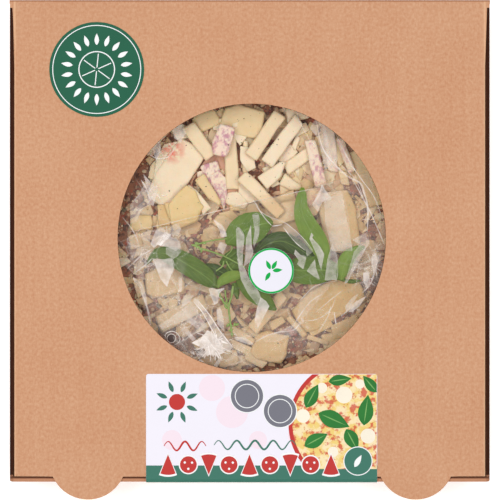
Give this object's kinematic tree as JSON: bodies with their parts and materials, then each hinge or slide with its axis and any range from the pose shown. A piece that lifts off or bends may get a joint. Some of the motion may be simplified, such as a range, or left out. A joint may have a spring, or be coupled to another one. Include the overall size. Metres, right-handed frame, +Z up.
{
  "type": "pizza in its box",
  "caption": "Wrapped cheese pizza with a pouch of leaves in a square corrugated box, whose hinged lid has a round window and two front tabs.",
  "frame": {"origin": "middle of the box's footprint with its tabs, at the surface that it stands on", "axes": "+Z up, +Y towards the lid's hinge, +X to the right seen from the front"},
  "size_m": [0.31, 0.3223, 0.0403],
  "materials": {
    "kraft_board": "matt brown corrugated board",
    "green_paper": "printed paper sticker",
    "label_paper": "printed paper label",
    "dough": "baked dough",
    "sauce": "moist sauce",
    "cheese": "cut cheese",
    "clear_film": "clear film pouch with green leaves"
  },
  "bodies": {
    "base": {"cheese_block_top": "cheese", "cheese_block_top_left": "cheese", "cheese_chunk_left": "cheese", "cheese_chunk_low": "cheese", "cheese_chunk_middle": "cheese", "cheese_lump_right": "cheese", "cheese_shred_left": "cheese", "cheese_shred_low_a": "cheese", "cheese_shred_low_b": "cheese", "cheese_shred_low_c": "cheese", "cheese_shred_middle": "cheese", "cheese_shred_pink_low": "cheese", "cheese_shred_pink_top": "cheese", "cheese_slab_low_edge": "cheese", "cheese_slab_lower_left": "cheese", "cheese_slab_lower_right": "cheese", "cheese_slab_right": "cheese", "cheese_slab_right_edge": "cheese", "cheese_slab_upper_left": "cheese", "cheese_sliver_yellow": "cheese", "cheese_stick_diagonal": "cheese", "cheese_stick_edge": "cheese", "cheese_stick_low": "cheese", "cheese_stick_middle": "cheese", "cheese_stick_pink": "cheese", "cheese_stick_right_a": "cheese", "cheese_stick_right_b": "cheese", "cheese_stick_top_a": "cheese", "cheese_stick_top_b": "cheese", "cheese_stick_upper_left": "cheese", "cheese_stub_centre": "cheese", "cheese_stub_left": "cheese", "cheese_stub_low": "cheese", "cheese_stub_middle": "cheese", "cheese_stub_top_right": "cheese", "cheese_stub_yellow": "cheese", "cheese_wedge_kinked": "cheese", "cheese_wedge_tip": "cheese", "cheese_wedge_yellow": "cheese", "crust": "dough", "leaf_pouch": "clear_film", "pouch_sticker": "label_paper", "sauce": "sauce", "tray": "kraft_board"},
    "lid": {"lid": "kraft_board", "round_sticker": "green_paper", "front_label": "label_paper"}
  },
  "joints": [
    {"name": "lid_hinge", "type": "hinge", "parent": "base", "child": "lid", "pos_m": [0, 0.16116, 0.04], "axis": [-1, 0, 0], "range_deg": [0, 115]}
  ]
}
